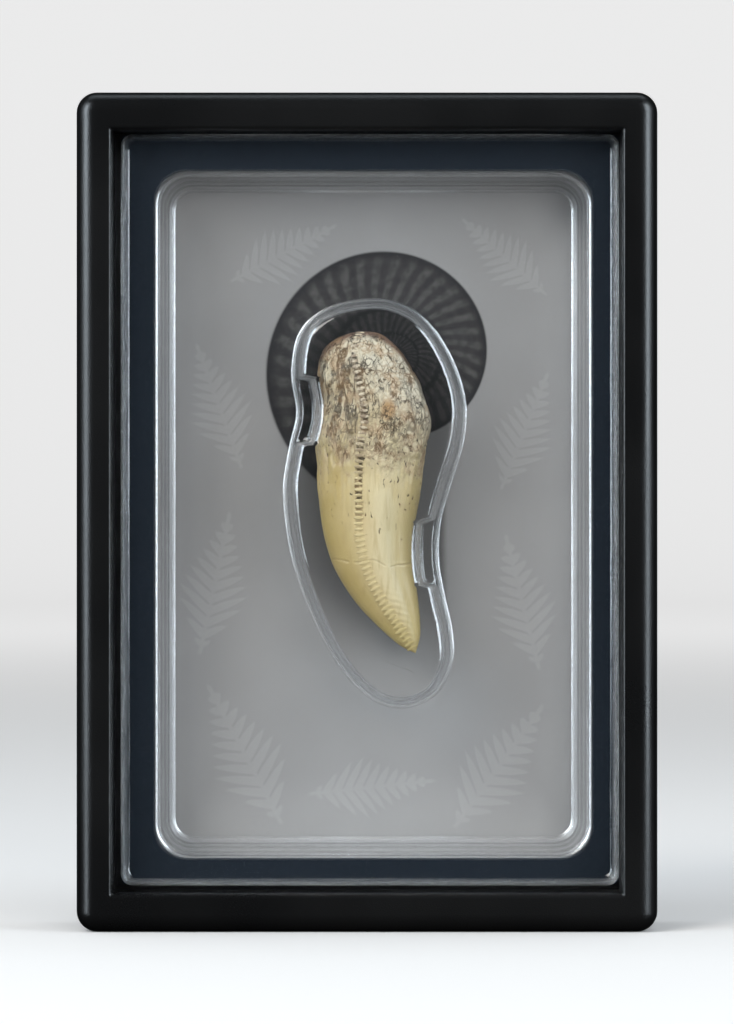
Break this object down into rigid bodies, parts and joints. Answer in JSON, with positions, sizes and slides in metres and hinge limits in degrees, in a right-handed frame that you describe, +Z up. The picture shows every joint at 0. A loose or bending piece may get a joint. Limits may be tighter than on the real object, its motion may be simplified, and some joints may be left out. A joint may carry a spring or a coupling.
{
  "type": "framed tyrannosaurus tooth replica",
  "caption": "Tooth replica with a rough root and a curved, pointed crown, held by a clear formed blister in front of a grey card in a small upright black frame.",
  "frame": {"origin": "middle of the footprint of the whole object, on the plane it stands on", "axes": "+Z up, from the tip of the crown towards the root; -Y is the way the display faces; +X to the right as seen from the front"},
  "size_m": [0.09, 0.02, 0.13],
  "materials": {
    "black_plastic": "satin black moulding",
    "navy_mount": "smooth dark blue-black board",
    "clear_plastic": "clear, glossy, vacuum-formed sheet",
    "tooth_ivory": "painted, cream crown and stained whitish root",
    "grey_card": "printed, smooth",
    "back_board": "plain, matte"
  },
  "bodies": {
    "root": {"frame": "black_plastic", "mount": "navy_mount", "blister": "clear_plastic", "tooth": "tooth_ivory", "card": "grey_card", "back_board": "back_board"}
  },
  "joints": []
}
